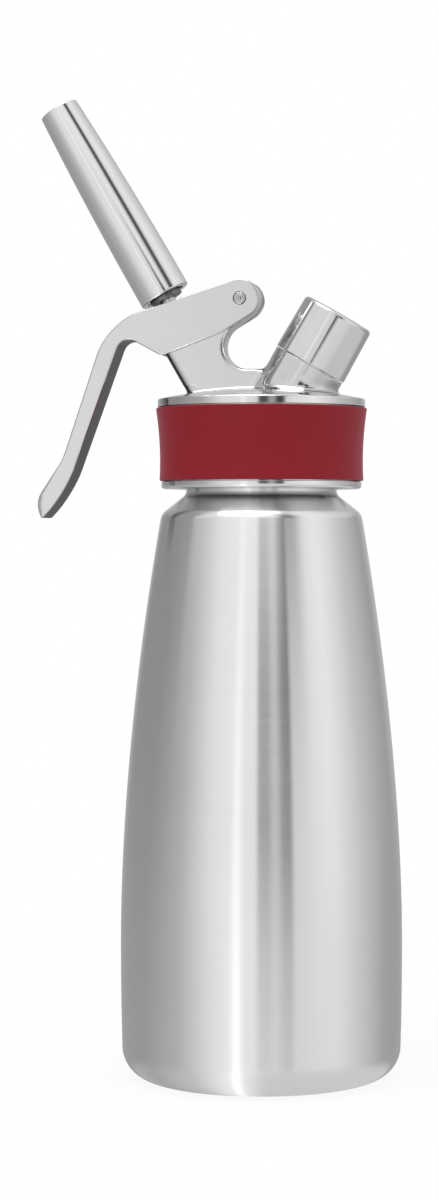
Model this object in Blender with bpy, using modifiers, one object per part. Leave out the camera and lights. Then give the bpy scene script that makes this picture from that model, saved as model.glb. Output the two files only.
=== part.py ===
"""Whipped cream dispenser: a steel bottle with a screw head, squeeze lever, slanted valve and charger port.

Sizes are in metres, +Z is up, and the origin is the centre of the bottle's flat base.
The lever and nozzle lean to -X, the charger port and its cap lean to +X.
"""

import math

import bmesh
import bpy
from mathutils import Matrix, Vector

# Clearances
SEAT_GAP = 0.0003
THREAD_GAP = 0.0004
SWING_GAP = 0.0015
OVERRUN = 0.001
THREAD_BITE = 0.0004
MERGE = 0.000001

# Bottle
BOTTLE_RADIUS = 0.0500
BOTTLE_WIDEST_HEIGHT = 0.0500
BOTTLE_FOOT_RADIUS = 0.0492
BOTTLE_FOOT_FILLET = 0.0114
BOTTLE_WALL = 0.0012
BOTTLE_TAPER_POWER = 1.8
SHOULDER_RADIUS = 0.0356
SHOULDER_HEIGHT = 0.2002
SHOULDER_RISE = 0.0070
SHOULDER_FILLET = 0.0045
NECK_RADIUS = 0.0268
NECK_SHOW = 0.0020
NECK_FILLET = 0.0025

# Screw thread between bottle and head
NECK_THREAD_PITCH = 0.0050
NECK_THREAD_TURNS = 2.5
NECK_THREAD_HEIGHT = 0.0015
NECK_THREAD_BASE = 0.0022
NECK_THREAD_CREST = 0.0010
NECK_THREAD_START = 0.0090

# Head
LIP_RADIUS = 0.0356
LIP_HEIGHT = 0.0025
LIP_FILLET = 0.0012
BAND_HEIGHT = 0.0265
BAND_SEAT_RADIUS = 0.0333
BAND_TOP_RADIUS = 0.0376
BAND_WAIST_RADIUS = 0.0361
BAND_FOOT_RADIUS = 0.0363
BAND_EDGE = 0.0005
BAND_WAIST_SHARE = 0.26
RIM_DROP = 0.0022
GASKET_THICKNESS = 0.0018
GASKET_WIDTH = 0.0036
FLANGE_RADIUS = 0.0369
FLANGE_SIDE = 0.0020
FLANGE_FILLET = 0.0010
DOME_RISE = 0.0036
PLATE_THICKNESS = 0.0102
PLATE_EDGE = 0.0013

# Valve block and its stem, along an axis that leans to -X
SLANT = math.radians(30.0)
VALVE_FOOT_X = -0.01345
VALVE_FOOT_RISE = 0.0032
BLOCK_HALF_WIDTH = 0.0107
BLOCK_TOP = 0.0249
BLOCK_CORNER = 0.0015
ARM_FOOT = 0.0075
THROAT_REACH = 0.0167
THROAT_RISE = 0.0116
THROAT_RADIUS = 0.0080
STEM_RADIUS = 0.0028
STEM_BORE_RADIUS = 0.0018
STEM_TOP_DROP = 0.0020
STEM_HOLE_RADIUS = 0.0009
STEM_HOLE_RISE = 0.0018
SEAT_RISE = 0.0002
POPPET_RADIUS = 0.0052
POPPET_THICKNESS = 0.0018
POPPET_POCKET_DEPTH = 0.0090
SEAL_THICKNESS = 0.0009
GLAND_FLOOR = 0.0097
GLAND_RADIUS = 0.0042
O_RING_WIRE_RADIUS = 0.00045
WASHER_THICKNESS = 0.0005
SPRING_WIRE_RADIUS = 0.00035
SPRING_RADIUS = 0.0035
SPRING_TURNS = 8
COLLAR_RADIUS = 0.0044
COLLAR_THICKNESS = 0.0024
COLLAR_CROWN = 0.0009

# Lever and its pin
PIVOT_REACH = 0.0234
PIVOT_RISE = 0.0272
KNUCKLE_RADIUS = 0.0066
PIN_RADIUS = 0.0021
PIN_PROUD = 0.0004
PIN_DOME = 0.0006
LEVER_CHEEK = 0.0022
LEVER_WEB = 0.0026
LEVER_END_RADIUS = 0.0070
LEVER_REACH = 0.0745
LEVER_DROP = 0.0785
LEVER_EDGE = 0.0006
# Corners of the lever's outline from the pivot: shares of its reach, of its drop and, for the radius, of its reach
LEVER_CORNER_SHARES = (
    (-0.640, -0.103, 0.315),
    (-0.858, -0.722, 0.268),
    (-0.991, -0.916, 0.094),
    (-0.962, -0.999, 0.011),
    (-0.844, -0.880, 0.600),
    (-0.568, -0.158, 0.062),
    (-0.379, -0.257, 0.035),
    (-0.067, -0.143, 0.201),
)

# Nozzle and its adapter
NOZZLE_LIFT = 0.0012
NOZZLE_LENGTH = 0.0777
NOZZLE_FOOT_RADIUS = 0.00925
NOZZLE_TIP_RADIUS = 0.00715
NOZZLE_WALL = 0.0010
NOZZLE_EDGE = 0.0004
ADAPTER_LENGTH = 0.0146
ADAPTER_RADIUS = 0.0059
ADAPTER_BORE_RADIUS = 0.0031
NOZZLE_WASHER_THICKNESS = 0.0010
FINE_PITCH = 0.0025
FINE_THREAD_HEIGHT = 0.0009
FINE_THREAD_BASE = 0.0010
FINE_THREAD_CREST = 0.0004
NOZZLE_THREAD_TURNS = 2.5
NOZZLE_THREAD_START = 0.0045

# Charger port and cap, along an axis that leans to +X
PORT_FOOT_X = 0.0105
BOSS_RADIUS = 0.0133
BOSS_TOP = 0.0137
BOSS_DEPTH = 0.0030
SPIGOT_RADIUS = 0.0096
SPIGOT_TOP = 0.0293
SPIGOT_BORE_RADIUS = 0.0072
SPIGOT_FLOOR = 0.0162
CHANNEL_RADIUS = 0.0015
CHECK_POCKET_RADIUS = 0.0048
CHECK_POCKET_TOP = 0.0035
CHECK_POCKET_DEPTH = 0.0107
CHECK_DISC_THICKNESS = 0.0010
CHECK_PLUG_LENGTH = 0.0036
INSERT_HEIGHT = 0.0060
CHARGER_NECK_RADIUS = 0.0046
CHARGER_NECK_DEPTH = 0.0040
CHARGER_SEAL_THICKNESS = 0.0015
NEEDLE_RADIUS = 0.0008
NEEDLE_POINT = 0.0022
NEEDLE_PROUD = 0.0016
NEEDLE_FLANGE_RADIUS = 0.0018
NEEDLE_FLANGE_THICKNESS = 0.0010
CAP_RADIUS = 0.0136
CAP_TOP_RADIUS = 0.0132
CAP_LENGTH = 0.0205
CAP_CROWN = 0.0004
CAP_FILLET = 0.0014
CAP_EDGE = 0.0004
CAP_LINER_THICKNESS = 0.0015
CAP_THREAD_TURNS = 3
CAP_THREAD_START = 0.0033

# Facets of round pieces
BOTTLE_STEPS = 44
HEAD_STEPS = 44
CAP_STEPS = 36
TUBE_STEPS = 26
SMALL_STEPS = 18
HOLE_STEPS = 12
THREAD_PHASE_SHARE = 0.375

# Heights and places that follow from the sizes above
NECK_BASE_HEIGHT = SHOULDER_HEIGHT + SHOULDER_RISE
COLLAR_FOOT = NECK_BASE_HEIGHT + NECK_SHOW
BAND_FOOT = COLLAR_FOOT + LIP_HEIGHT
FLANGE_FOOT = BAND_FOOT + BAND_HEIGHT
RIM_HEIGHT = FLANGE_FOOT - RIM_DROP
CEILING = RIM_HEIGHT + GASKET_THICKNESS + 2 * SEAT_GAP
FLANGE_TOP = FLANGE_FOOT + FLANGE_SIDE + FLANGE_FILLET
VALVE_FOOT_Z = FLANGE_FOOT + VALVE_FOOT_RISE
HEAD_BORE_RADIUS = NECK_RADIUS + NECK_THREAD_HEIGHT + THREAD_GAP
GASKET_RADIUS = HEAD_BORE_RADIUS - SEAT_GAP


def tangent(centre, radius, point, side):
    """Angle, from -90 to 270 degrees, where the line from a point touches a circle, on side +1 or -1."""
    reach = Vector(point) - Vector(centre)
    away = math.degrees(math.atan2(reach.y, reach.x))
    return (away + side * math.degrees(math.acos(radius / reach.length)) + 90) % 360 - 90


def lever_corners():
    """The lever's corners from its pivot, each with its radius."""
    made = []
    for x_share, z_share, radius_share in LEVER_CORNER_SHARES:
        made.append((LEVER_REACH * x_share, LEVER_DROP * z_share, LEVER_REACH * radius_share))
    return made


def lever_top_edge():
    """Slope and height, in the valve's frame, of the line along the lever's top edge."""
    bend = lever_corners()[0][:2]
    touch = math.radians(tangent((0, 0), LEVER_END_RADIUS, bend, -1))
    places = []
    for x, z in (bend, (LEVER_END_RADIUS * math.cos(touch), LEVER_END_RADIUS * math.sin(touch))):
        across = PIVOT_REACH + x * math.cos(SLANT) + z * math.sin(SLANT)
        along = PIVOT_RISE - x * math.sin(SLANT) + z * math.cos(SLANT)
        places.append((across, along))
    slope = (places[1][1] - places[0][1]) / (places[1][0] - places[0][0])
    return slope, places[0][1] - slope * places[0][0]


# Places along the valve's axis that follow from the lever's top edge and its web
WEB_SLOPE, WEB_TOP = lever_top_edge()
WEB_UNDERSIDE = WEB_TOP - LEVER_WEB * math.sqrt(1 + WEB_SLOPE ** 2)
COLLAR_TOP = WEB_UNDERSIDE - 1.5 * SEAT_GAP
ADAPTER_FOOT = WEB_TOP - WEB_SLOPE * ADAPTER_RADIUS + THREAD_GAP
ADAPTER_TOP = ADAPTER_FOOT + ADAPTER_LENGTH
POPPET_TOP = SEAT_RISE - SEAL_THICKNESS - 2 * SEAT_GAP
STEM_TOP = ADAPTER_TOP - STEM_TOP_DROP
NOZZLE_FOOT = WEB_TOP - WEB_SLOPE * NOZZLE_FOOT_RADIUS + NOZZLE_LIFT

for old in list(bpy.data.objects):
    bpy.data.objects.remove(old, do_unlink=True)

parts = bpy.data.collections.new("whipped_cream_dispenser")
bpy.context.scene.collection.children.link(parts)
cutters = bpy.data.collections.new("cutters")
bpy.context.scene.collection.children.link(cutters)


def frame(name, place, turn):
    """An empty that carries the pieces of one slanted axis or one pivot."""
    empty = bpy.data.objects.new(name, None)
    empty.location = place
    empty.rotation_euler = turn
    parts.objects.link(empty)
    return empty


valve_axis = frame("valve_axis", (VALVE_FOOT_X, 0, VALVE_FOOT_Z), (0, -SLANT, 0))
port_axis = frame("port_axis", (PORT_FOOT_X, 0, VALVE_FOOT_Z), (0, SLANT, 0))


def valve_point(across, along):
    """X and Z of a point given across and along the valve's axis."""
    x = VALVE_FOOT_X + across * math.cos(SLANT) - along * math.sin(SLANT)
    z = VALVE_FOOT_Z + across * math.sin(SLANT) + along * math.cos(SLANT)
    return x, z


PIVOT_X, PIVOT_Z = valve_point(PIVOT_REACH, PIVOT_RISE)
pivot = frame("lever_pivot", (PIVOT_X, 0, PIVOT_Z), (0, 0, 0))


def material(name, colour, metallic, roughness):
    """A plain Principled surface in the piece's colour."""
    made = bpy.data.materials.new(name)
    made.use_nodes = True
    shader = made.node_tree.nodes["Principled BSDF"]
    shader.inputs["Base Color"].default_value = (*colour, 1.0)
    shader.inputs["Metallic"].default_value = metallic
    shader.inputs["Roughness"].default_value = roughness
    made.diffuse_color = (*colour, 1.0)
    return made


def place(obj, carrier, collection):
    """Links an object under the empty that carries it."""
    collection.objects.link(obj)
    obj.parent = carrier
    if collection is cutters:
        obj.hide_render = True
        obj.display_type = "WIRE"
    return obj


def smooth(mesh):
    mesh.shade_smooth()
    mesh.set_sharp_from_angle(angle=math.radians(35))


def solid(obj, closed_ends=False):
    """Turns an object's evaluated shape into a plain closed mesh object of the same name."""
    bpy.context.view_layer.update()
    graph = bpy.context.evaluated_depsgraph_get()
    mesh = bpy.data.meshes.new_from_object(obj.evaluated_get(graph))
    work = bmesh.new()
    work.from_mesh(mesh)
    bmesh.ops.remove_doubles(work, verts=work.verts, dist=MERGE)
    if closed_ends:
        rim = [edge for edge in work.edges if edge.is_boundary]
        bmesh.ops.holes_fill(work, edges=rim)
        bmesh.ops.recalc_face_normals(work, faces=work.faces)
    work.to_mesh(mesh)
    work.free()
    name = obj.name
    collection = obj.users_collection[0]
    carrier = obj.parent
    turn = obj.rotation_euler.copy()
    bpy.data.objects.remove(obj, do_unlink=True)
    made = bpy.data.objects.new(name, mesh)
    made.rotation_euler = turn
    return place(made, carrier, collection)


def profile_object(name, points, closed):
    """A profile in the XZ plane, as loose edges."""
    mesh = bpy.data.meshes.new(name)
    edges = [(i, i + 1) for i in range(len(points) - 1)]
    if closed:
        edges.append((len(points) - 1, 0))
    mesh.from_pydata([(r, 0, z) for r, z in points], edges, [])
    return bpy.data.objects.new(name, mesh)


def turned(name, points, steps, carrier=None, collection=parts, closed=False):
    """A turned piece: the profile runs down its outer side, top to bottom. Cutters stand half a facet round."""
    obj = place(profile_object(name, points, closed), carrier, collection)
    if collection is cutters:
        obj.rotation_euler.z = math.pi / steps
    screw = obj.modifiers.new("turn", "SCREW")
    screw.axis = "Z"
    screw.angle = 2 * math.pi
    screw.steps = steps
    screw.render_steps = steps
    screw.use_merge_vertices = True
    screw.merge_threshold = MERGE
    return obj


def thread(name, radius, crest_radius, base, crest, pitch, turns, start, steps, carrier=None):
    """A helical ridge on a wall at radius, up to crest_radius, part of a facet round, as a solid to join on."""
    inward = crest_radius < radius
    root = radius + THREAD_BITE if inward else radius - THREAD_BITE
    half_base = base / 2
    half_crest = crest / 2
    points = [(root, half_base), (crest_radius, half_crest), (crest_radius, -half_crest), (root, -half_base)]
    if inward:
        points.reverse()
    points = [(r, z + start) for r, z in points]
    obj = place(profile_object(name, points, True), carrier, cutters)
    obj.rotation_euler.z = 2 * math.pi / steps * THREAD_PHASE_SHARE
    screw = obj.modifiers.new("wind", "SCREW")
    screw.axis = "Z"
    screw.angle = 2 * math.pi * turns
    screw.screw_offset = pitch * turns
    screw.steps = round(steps * turns)
    screw.render_steps = screw.steps
    return solid(obj, closed_ends=True)


def thread_drop(root_radius, bore_radius, height, base, crest):
    """How far an inside ridge's middle lies below the outside ridge that it bears on."""
    slope = (base - crest) / height
    return base - slope * (2 * height - (bore_radius - root_radius)) / 2 + SEAT_GAP


def boolean(target, tool, operation):
    step = target.modifiers.new(operation.lower(), "BOOLEAN")
    step.operation = operation
    step.solver = "EXACT"
    step.object = tool


def cut(target, tool):
    boolean(target, tool, "DIFFERENCE")


def join(target, tool):
    boolean(target, tool, "UNION")


def arc(centre, radius, start, end, steps):
    """Points of an arc from start to end, in degrees."""
    made = []
    for i in range(steps + 1):
        angle = math.radians(start + (end - start) * i / steps)
        made.append((centre[0] + radius * math.cos(angle), centre[1] + radius * math.sin(angle)))
    return made


def filleted(corners, steps=4):
    """A polyline with a round of its own radius at each (x, z, radius) corner; the ends stay sharp."""
    made = []
    count = len(corners)
    for i, (x, z, radius) in enumerate(corners):
        here = Vector((x, z))
        if radius == 0 or i in (0, count - 1):
            made.append((x, z))
            continue
        before = (Vector(corners[i - 1][:2]) - here).normalized()
        after = (Vector(corners[i + 1][:2]) - here).normalized()
        half = before.angle(after) / 2
        middle = here + (before + after).normalized() * radius / math.sin(half)
        first = here + before * radius / math.tan(half) - middle
        last = here + after * radius / math.tan(half) - middle
        turn = first.angle_signed(last)
        for k in range(steps + 1):
            spoke = first.copy()
            spoke.rotate(Matrix.Rotation(-turn * k / steps, 2))
            made.append(tuple(middle + spoke))
    return made


def plate(name, outline, thickness, edge=0, carrier=None, collection=parts):
    """A flat outline in the XZ plane, as thick as asked across Y, with rounded edges."""
    curve = bpy.data.curves.new(name, "CURVE")
    curve.dimensions = "2D"
    curve.fill_mode = "BOTH"
    curve.extrude = thickness / 2
    spline = curve.splines.new("POLY")
    spline.points.add(len(outline) - 1)
    for point, (x, z) in zip(spline.points, outline):
        point.co = (x, z, 0, 1)
    spline.use_cyclic_u = True
    obj = bpy.data.objects.new(name, curve)
    obj = solid(place(obj, carrier, collection))
    obj.data.transform(Matrix.Rotation(math.pi / 2, 4, "X"))
    if edge:
        bevel = obj.modifiers.new("edge", "BEVEL")
        bevel.width = edge
        bevel.segments = 2
        bevel.limit_method = "ANGLE"
        bevel.angle_limit = math.radians(60)
    return obj


def round_cutter(name, radius, low, high, carrier, steps=SMALL_STEPS):
    return turned(name, [(0, high), (radius, high), (radius, low), (0, low)], steps, carrier, cutters)


def finish(obj, look):
    obj.data.materials.clear()
    obj.data.materials.append(look)
    return obj


steel = material("brushed_steel", (0.62, 0.62, 0.61), 1.0, 0.32)
polished = material("polished_steel", (0.72, 0.72, 0.72), 1.0, 0.12)
red = material("red_silicone", (0.27, 0.022, 0.028), 0.0, 0.55)
silicone = material("white_silicone", (0.78, 0.78, 0.75), 0.0, 0.5)
black_rubber = material("black_rubber", (0.03, 0.03, 0.03), 0.0, 0.6)
spring_steel = material("spring_steel", (0.55, 0.55, 0.56), 1.0, 0.25)
brass = material("plated_brass", (0.66, 0.60, 0.45), 1.0, 0.25)


def bottle_side(height):
    """Radius of the bottle's long side at a height: drawn in at the foot, tapering to the shoulder."""
    if height < BOTTLE_WIDEST_HEIGHT:
        share = 1 - height / BOTTLE_WIDEST_HEIGHT
        return BOTTLE_RADIUS - (BOTTLE_RADIUS - BOTTLE_FOOT_RADIUS) * share ** 2
    share = (height - BOTTLE_WIDEST_HEIGHT) / (SHOULDER_HEIGHT - BOTTLE_WIDEST_HEIGHT)
    return BOTTLE_RADIUS - (BOTTLE_RADIUS - SHOULDER_RADIUS) * share ** BOTTLE_TAPER_POWER


def bottle_outside():
    """The bottle's outer profile, from the rim down to the middle of the base."""
    corners = [
        (NECK_RADIUS, RIM_HEIGHT, 0),
        (NECK_RADIUS, NECK_BASE_HEIGHT, NECK_FILLET),
        (SHOULDER_RADIUS, SHOULDER_HEIGHT, SHOULDER_FILLET),
    ]
    side_steps = 8
    for i in range(1, side_steps + 1):
        height = SHOULDER_HEIGHT * (1 - i / side_steps)
        if height > BOTTLE_FOOT_FILLET * 2:
            corners.append((bottle_side(height), height, 0))
    corners.append((BOTTLE_FOOT_RADIUS, 0, BOTTLE_FOOT_FILLET))
    corners.append((0, 0, 0))
    return filleted(corners, 3)


def inset(points, distance):
    """The same profile moved inwards by a wall, keeping its ends level with the rim and on the axis."""
    made = []
    last = len(points) - 1
    for i, (r, z) in enumerate(points):
        before = Vector(points[max(i - 1, 0)])
        after = Vector(points[min(i + 1, last)])
        along = (after - before).normalized()
        made.append((r + along.y * distance, z - along.x * distance))
    made[0] = (points[0][0] - distance, points[0][1])
    made[last] = (0, distance)
    return made


def build_bottle():
    outside = bottle_outside()
    inside = inset(outside, BOTTLE_WALL)
    bottle = turned("bottle", list(reversed(inside)) + outside, BOTTLE_STEPS)
    ridge = thread(
        "neck_thread",
        NECK_RADIUS,
        NECK_RADIUS + NECK_THREAD_HEIGHT,
        NECK_THREAD_BASE,
        NECK_THREAD_CREST,
        NECK_THREAD_PITCH,
        NECK_THREAD_TURNS,
        COLLAR_FOOT + NECK_THREAD_START,
        BOTTLE_STEPS,
    )
    join(bottle, ridge)
    return finish(bottle, steel)


def head_shell():
    """The collar, band seat, flange and dome as one solid of revolution."""
    edge = FLANGE_RADIUS - FLANGE_FILLET
    curve_radius = (edge ** 2 + DOME_RISE ** 2) / (2 * DOME_RISE)
    apex = FLANGE_TOP + DOME_RISE
    dome = []
    dome_steps = 5
    for i in range(dome_steps + 1):
        r = edge * i / dome_steps
        dome.append((r, apex - curve_radius + math.sqrt(curve_radius ** 2 - r ** 2), 0))
    corners = dome + [
        (FLANGE_RADIUS, FLANGE_TOP - FLANGE_FILLET / 4, FLANGE_FILLET / 2),
        (FLANGE_RADIUS, FLANGE_FOOT, 0),
        (BAND_SEAT_RADIUS, FLANGE_FOOT, 0),
        (BAND_SEAT_RADIUS, BAND_FOOT, 0),
        (LIP_RADIUS, BAND_FOOT, 0),
        (LIP_RADIUS, COLLAR_FOOT, LIP_FILLET),
        (0, COLLAR_FOOT, 0),
    ]
    return turned("head_casting", filleted(corners, 2), HEAD_STEPS)


def head_outline():
    """Block, arm, knuckle and bridge in the XZ plane, from the block's foot at the left, clockwise."""
    foot = valve_point(-BLOCK_HALF_WIDTH, 0)
    block_left = valve_point(-BLOCK_HALF_WIDTH, BLOCK_TOP)
    arm_foot = valve_point(ARM_FOOT, BLOCK_TOP)
    centre = (PIVOT_X, PIVOT_Z)
    throat = valve_point(THROAT_REACH, THROAT_RISE)
    gap = Vector(throat) - Vector(centre)
    down = math.degrees(math.atan2(gap.y, gap.x))
    lean = math.degrees(math.acos((KNUCKLE_RADIUS + THROAT_RADIUS) / gap.length))
    leave = down + lean
    outline = filleted([(*foot, 0), (*block_left, BLOCK_CORNER), (*arm_foot, 0)], 3)
    outline += arc(centre, KNUCKLE_RADIUS, tangent(centre, KNUCKLE_RADIUS, arm_foot, -1), leave, 12)
    outline += arc(throat, THROAT_RADIUS, leave + 180, 270, 9)
    outline += [(PORT_FOOT_X, throat[1] - THROAT_RADIUS), (PORT_FOOT_X, CEILING), (foot[0], CEILING)]
    return outline


def build_head():
    head = head_shell()
    frame_plate = plate("head_plate", head_outline(), PLATE_THICKNESS, PLATE_EDGE, None, cutters)
    join(head, frame_plate)
    spigot = [
        (0, SPIGOT_TOP),
        (SPIGOT_RADIUS, SPIGOT_TOP),
        (SPIGOT_RADIUS, BOSS_TOP),
        (BOSS_RADIUS, BOSS_TOP),
        (BOSS_RADIUS, -BOSS_DEPTH),
        (0, -BOSS_DEPTH),
    ]
    join(head, turned("port_boss", spigot, CAP_STEPS, port_axis, cutters))
    spigot_ridge = thread(
        "spigot_thread",
        SPIGOT_RADIUS,
        SPIGOT_RADIUS + FINE_THREAD_HEIGHT,
        FINE_THREAD_BASE,
        FINE_THREAD_CREST,
        FINE_PITCH,
        CAP_THREAD_TURNS,
        BOSS_TOP + CAP_THREAD_START,
        TUBE_STEPS,
        port_axis,
    )
    join(head, spigot_ridge)
    bore = [
        (0, CEILING),
        (HEAD_BORE_RADIUS, CEILING),
        (HEAD_BORE_RADIUS, COLLAR_FOOT - OVERRUN),
        (0, COLLAR_FOOT - OVERRUN),
    ]
    cut(head, turned("head_bore", bore, HEAD_STEPS, None, cutters))
    drop = thread_drop(
        NECK_RADIUS, HEAD_BORE_RADIUS, NECK_THREAD_HEIGHT, NECK_THREAD_BASE, NECK_THREAD_CREST
    )
    inner_ridge = thread(
        "head_thread",
        HEAD_BORE_RADIUS,
        HEAD_BORE_RADIUS - NECK_THREAD_HEIGHT,
        NECK_THREAD_BASE,
        NECK_THREAD_CREST,
        NECK_THREAD_PITCH,
        NECK_THREAD_TURNS,
        COLLAR_FOOT + NECK_THREAD_START - drop,
        HEAD_STEPS,
    )
    join(head, inner_ridge)
    valve_bore = [
        (0, BLOCK_TOP + OVERRUN),
        (GLAND_RADIUS, BLOCK_TOP + OVERRUN),
        (GLAND_RADIUS, GLAND_FLOOR),
        (STEM_RADIUS + SEAT_GAP, GLAND_FLOOR),
        (STEM_RADIUS + SEAT_GAP, SEAT_RISE),
        (POPPET_RADIUS + SEAT_GAP, SEAT_RISE),
        (POPPET_RADIUS + SEAT_GAP, SEAT_RISE - POPPET_POCKET_DEPTH),
        (0, SEAT_RISE - POPPET_POCKET_DEPTH),
    ]
    cut(head, turned("valve_bore", valve_bore, TUBE_STEPS, valve_axis, cutters))
    port_bore = [
        (0, SPIGOT_TOP + OVERRUN),
        (SPIGOT_BORE_RADIUS, SPIGOT_TOP + OVERRUN),
        (SPIGOT_BORE_RADIUS, SPIGOT_FLOOR),
        (CHANNEL_RADIUS, SPIGOT_FLOOR),
        (CHANNEL_RADIUS, CHECK_POCKET_TOP),
        (CHECK_POCKET_RADIUS, CHECK_POCKET_TOP),
        (CHECK_POCKET_RADIUS, CHECK_POCKET_TOP - CHECK_POCKET_DEPTH),
        (0, CHECK_POCKET_TOP - CHECK_POCKET_DEPTH),
    ]
    cut(head, turned("port_bore", port_bore, TUBE_STEPS, port_axis, cutters))
    pin_hole = round_cutter("pin_hole", PIN_RADIUS + SEAT_GAP, -PLATE_THICKNESS, PLATE_THICKNESS, pivot)
    pin_hole.rotation_euler = (math.pi / 2, 0, 0)
    cut(head, pin_hole)
    return finish(head, polished)


def band_radius(share):
    """The grip band's outer radius at a share of its height: a waist low down and a flare at the top."""
    if share < BAND_WAIST_SHARE:
        away = 1 - share / BAND_WAIST_SHARE
        return BAND_WAIST_RADIUS + (BAND_FOOT_RADIUS - BAND_WAIST_RADIUS) * away ** 2
    away = (share - BAND_WAIST_SHARE) / (1 - BAND_WAIST_SHARE)
    return BAND_WAIST_RADIUS + (BAND_TOP_RADIUS - BAND_WAIST_RADIUS) * away ** 2


def build_band():
    low = BAND_FOOT + SEAT_GAP
    high = FLANGE_FOOT - SEAT_GAP
    inner = BAND_SEAT_RADIUS + SEAT_GAP
    corners = [(inner, high, 0), (band_radius(1), high, BAND_EDGE)]
    levels = 6
    for i in range(1, levels):
        share = 1 - i / levels
        corners.append((band_radius(share), low + (high - low) * share, 0))
    corners += [(band_radius(0), low, BAND_EDGE), (inner, low, 0)]
    band = turned("grip_band", filleted(corners, 2), HEAD_STEPS, closed=True)
    return finish(band, red)


def ring(name, inner, outer, low, high, steps, carrier, look):
    """A flat ring, closed all round."""
    points = [(inner, high), (outer, high), (outer, low), (inner, low)]
    return finish(turned(name, points, steps, carrier, closed=True), look)


def build_head_gasket():
    low = RIM_HEIGHT + SEAT_GAP
    inner = GASKET_RADIUS - GASKET_WIDTH
    high = low + GASKET_THICKNESS
    return ring("head_gasket", inner, GASKET_RADIUS, low, high, HEAD_STEPS, None, silicone)


def build_stem():
    """The hollow stem: poppet flange at the foot, cross holes over it and a bore up to the open top."""
    points = [
        (STEM_BORE_RADIUS, STEM_TOP),
        (STEM_RADIUS, STEM_TOP),
        (STEM_RADIUS, POPPET_TOP),
        (POPPET_RADIUS, POPPET_TOP),
        (POPPET_RADIUS, POPPET_TOP - POPPET_THICKNESS / 2),
        (STEM_RADIUS, POPPET_TOP - POPPET_THICKNESS),
        (0, POPPET_TOP - POPPET_THICKNESS),
        (0, SEAT_RISE),
        (STEM_BORE_RADIUS, SEAT_RISE),
    ]
    points = points[-2:] + points[:-2]
    stem = turned("valve_stem", points, SMALL_STEPS, valve_axis)
    aside = math.pi / SMALL_STEPS / 2
    for number, turn in enumerate((aside, aside + math.pi / 2)):
        reach = STEM_RADIUS * 2
        hole = round_cutter(f"cross_hole_{number}", STEM_HOLE_RADIUS, -reach, reach, valve_axis, HOLE_STEPS)
        hole.location = (0, 0, SEAT_RISE + STEM_HOLE_RISE)
        hole.rotation_euler = (math.pi / 2, 0, turn)
        cut(stem, hole)
    return finish(stem, polished)


def build_valve_rings():
    inner = STEM_RADIUS + SEAT_GAP
    low = POPPET_TOP + SEAT_GAP
    ring("valve_seal", inner, POPPET_RADIUS, low, low + SEAL_THICKNESS, SMALL_STEPS, valve_axis, silicone)
    low = GLAND_FLOOR + SEAT_GAP
    centre = (inner + O_RING_WIRE_RADIUS, low + O_RING_WIRE_RADIUS)
    section = arc(centre, O_RING_WIRE_RADIUS, 90, -270, 8)[:-1]
    finish(turned("stem_o_ring", section, SMALL_STEPS, valve_axis, closed=True), black_rubber)
    low += 2 * O_RING_WIRE_RADIUS + SEAT_GAP
    outer = GLAND_RADIUS - SEAT_GAP
    ring("spring_washer", inner, outer, low, low + WASHER_THICKNESS, SMALL_STEPS, valve_axis, polished)
    return low + WASHER_THICKNESS


def build_spring(foot):
    """The return spring, one unbroken wire from the washer to the stem's collar."""
    low = foot + SEAT_GAP + SPRING_WIRE_RADIUS
    high = COLLAR_TOP - COLLAR_THICKNESS - SEAT_GAP - SPRING_WIRE_RADIUS
    per_turn = 9
    count = SPRING_TURNS * per_turn
    curve = bpy.data.curves.new("valve_spring", "CURVE")
    curve.dimensions = "3D"
    curve.bevel_depth = SPRING_WIRE_RADIUS
    curve.bevel_resolution = 1
    curve.use_fill_caps = True
    spline = curve.splines.new("POLY")
    spline.points.add(count)
    for i, point in enumerate(spline.points):
        angle = 2 * math.pi * i / per_turn
        height = low + (high - low) * i / count
        point.co = (SPRING_RADIUS * math.cos(angle), SPRING_RADIUS * math.sin(angle), height, 1)
    spring = place(bpy.data.objects.new("valve_spring", curve), valve_axis, parts)
    least = math.inf
    points = [Vector(point.co[:3]) for point in spline.points]
    for i, first in enumerate(points):
        for second in points[i + per_turn // 2 + 1:]:
            least = min(least, (first - second).length - 2 * SPRING_WIRE_RADIUS)
    print(f"valve_spring: least gap to itself {least * 1000:.2f} mm")
    return finish(spring, spring_steel)


def build_stem_collar():
    """The crowned ring on the stem that the lever's web presses on."""
    inner = STEM_RADIUS + SEAT_GAP
    middle = (inner + COLLAR_RADIUS) / 2
    foot = COLLAR_TOP - COLLAR_THICKNESS
    points = [
        (inner, COLLAR_TOP),
        (middle, COLLAR_TOP - COLLAR_CROWN / 3),
        (COLLAR_RADIUS, COLLAR_TOP - COLLAR_CROWN),
        (COLLAR_RADIUS, foot),
        (inner, foot),
    ]
    return finish(turned("stem_collar", points, SMALL_STEPS, valve_axis, closed=True), polished)


def lever_outline():
    """The lever's side view from its pivot: round end, top edge, handle, tip, arch, toe and lower edge."""
    corners = lever_corners()
    top = tangent((0, 0), LEVER_END_RADIUS, corners[0][:2], -1)
    low = tangent((0, 0), LEVER_END_RADIUS, corners[-1][:2], 1)
    end = arc((0, 0), LEVER_END_RADIUS, low, top, 10)
    outline = filleted([(*end[-1], 0)] + corners + [(*end[0], 0)], 5)
    return outline[:-1] + end[:-1]


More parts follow.
